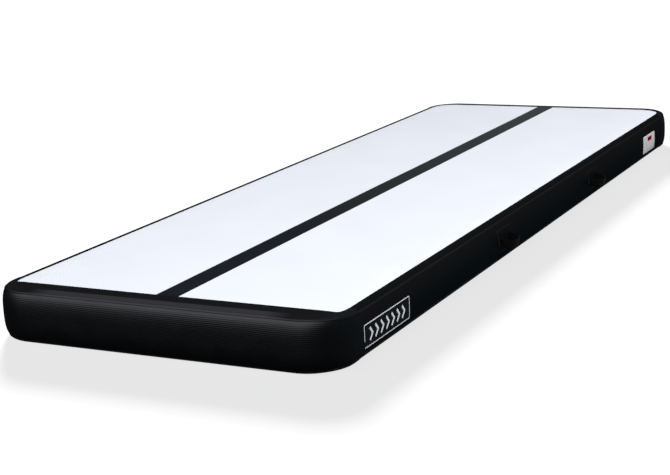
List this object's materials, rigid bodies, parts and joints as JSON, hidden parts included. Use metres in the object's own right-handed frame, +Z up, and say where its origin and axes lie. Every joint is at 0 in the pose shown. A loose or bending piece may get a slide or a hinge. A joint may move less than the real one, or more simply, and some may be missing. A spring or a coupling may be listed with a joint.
{
  "type": "air track mat",
  "caption": "Inflatable gymnastics air track: white top with a dark centre stripe, black bowed walls, webbing handles and a screw-cap valve.",
  "frame": {"origin": "centre of the bottom panel's outer face, the face the mat rests on", "axes": "+Y along the mat's length towards the valve end, +X towards the badge side, +Z up"},
  "size_m": [1.092, 3.0201, 0.132],
  "materials": {
    "white_pvc": "satin coated fabric",
    "black_pvc": "satin coated fabric",
    "ribbed_pvc": "fine ribbed weave",
    "navy_pvc": "matte print",
    "thread": "polyester yarn",
    "webbing": "woven webbing",
    "label": "printed film",
    "badge": "printed film",
    "valve_plastic": "moulded",
    "cap_plastic": "moulded",
    "rubber": "matte",
    "steel": "spring wire"
  },
  "bodies": {
    "mat": {"top_panel": "white_pvc", "bottom_panel": "black_pvc", "drop_stitch_row_1": "thread", "drop_stitch_row_2": "thread", "drop_stitch_row_3": "thread", "drop_stitch_row_4": "thread", "drop_stitch_row_5": "thread", "drop_stitch_row_6": "thread", "drop_stitch_row_7": "thread", "end_wall_near": "ribbed_pvc", "end_wall_far": "ribbed_pvc", "side_wall_right": "black_pvc", "side_wall_left": "black_pvc", "top_tape_near": "ribbed_pvc", "top_tape_far": "ribbed_pvc", "top_tape_right": "black_pvc", "top_tape_left": "black_pvc", "bottom_tape_near": "ribbed_pvc", "bottom_tape_far": "ribbed_pvc", "bottom_tape_right": "black_pvc", "bottom_tape_left": "black_pvc", "near_border_strip": "black_pvc", "centre_stripe": "navy_pvc", "name_badge": "badge", "care_label": "label", "handle_right_near_patch": "black_pvc", "handle_right_near_tab_near": "webbing", "handle_right_near_tab_far": "webbing", "handle_right_far_patch": "black_pvc", "handle_right_far_tab_near": "webbing", "handle_right_far_tab_far": "webbing", "handle_left_near_patch": "black_pvc", "handle_left_near_tab_near": "webbing", "handle_left_near_tab_far": "webbing", "handle_left_far_patch": "black_pvc", "handle_left_far_tab_near": "webbing", "handle_left_far_tab_far": "webbing", "valve_patch": "black_pvc", "valve_gasket": "rubber", "valve_body": "valve_plastic", "valve_nut": "valve_plastic", "valve_tether_tab": "rubber", "valve_spring": "steel"},
    "strap_right_near": {"handle_right_near_strap": "webbing"},
    "strap_right_far": {"handle_right_far_strap": "webbing"},
    "strap_left_near": {"handle_left_near_strap": "webbing"},
    "strap_left_far": {"handle_left_far_strap": "webbing"},
    "valve_tether": {"valve_tether": "rubber"},
    "valve_cap": {"valve_cap": "cap_plastic", "valve_cap_gasket": "rubber"},
    "valve_plunger": {"valve_plunger": "valve_plastic", "valve_seal": "rubber"}
  },
  "joints": [
    {"name": "swing_right_near", "type": "hinge", "parent": "mat", "child": "strap_right_near", "pos_m": [0.5011, -0.41, 0.066], "axis": [0, -1, 0], "range_deg": [-20, 45]},
    {"name": "swing_right_far", "type": "hinge", "parent": "mat", "child": "strap_right_far", "pos_m": [0.5011, 0.445, 0.066], "axis": [0, -1, 0], "range_deg": [-20, 45]},
    {"name": "swing_left_near", "type": "hinge", "parent": "mat", "child": "strap_left_near", "pos_m": [-0.5011, -0.41, 0.066], "axis": [0, 1, 0], "range_deg": [-20, 45]},
    {"name": "swing_left_far", "type": "hinge", "parent": "mat", "child": "strap_left_far", "pos_m": [-0.5011, 0.445, 0.066], "axis": [0, 1, 0], "range_deg": [-20, 45]},
    {"name": "cap_lift", "type": "slide", "parent": "mat", "child": "valve_tether", "axis": [0, 1, 0], "range_m": [0, 0.0091]},
    {"name": "cap_turn", "type": "hinge", "parent": "valve_tether", "child": "valve_cap", "pos_m": [-0.3, 1.5011, 0.066], "axis": [0, 1, 0], "range_deg": [0, 720]},
    {"name": "plunger_push", "type": "slide", "parent": "mat", "child": "valve_plunger", "axis": [0, -1, 0], "range_m": [0, 0.006], "stiffness_N_per_m": 600, "springref_m": -0.004, "deforming": ["valve_spring"]}
  ],
  "couplings": [
    {"joint": "cap_lift", "follows": "cap_turn", "m_per_rad": 0.0007162}
  ]
}
